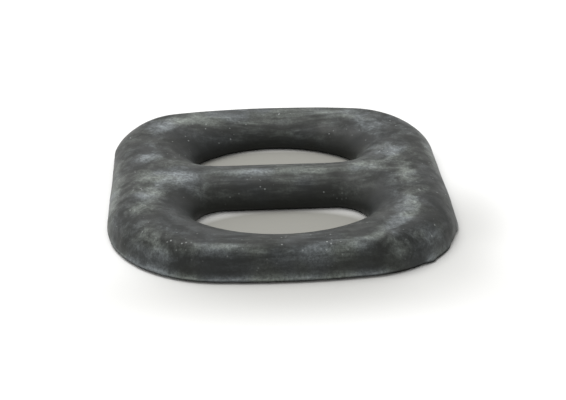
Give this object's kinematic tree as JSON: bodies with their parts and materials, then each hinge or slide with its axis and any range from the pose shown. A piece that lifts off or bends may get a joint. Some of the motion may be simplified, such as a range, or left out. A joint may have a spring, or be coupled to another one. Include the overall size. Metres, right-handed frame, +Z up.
{
  "type": "exhaust hanger rubber",
  "caption": "Moulded rubber hanger, a rounded square ring with a cross bar between two D-shaped slots, which holds a car's exhaust pipe on hooks and damps it.",
  "frame": {"origin": "under the middle of the part, on the surface that it lies on", "axes": "+X along the cross bar and the slots, +Y across the slots, towards the end that is far from the camera in the picture, +Z up through the thickness"},
  "size_m": [0.0608, 0.0618, 0.0058],
  "materials": {
    "rubber": "matt to satin, with a pale bloom and dust"
  },
  "bodies": {
    "root": {"hanger_rubber": "rubber"}
  },
  "joints": []
}
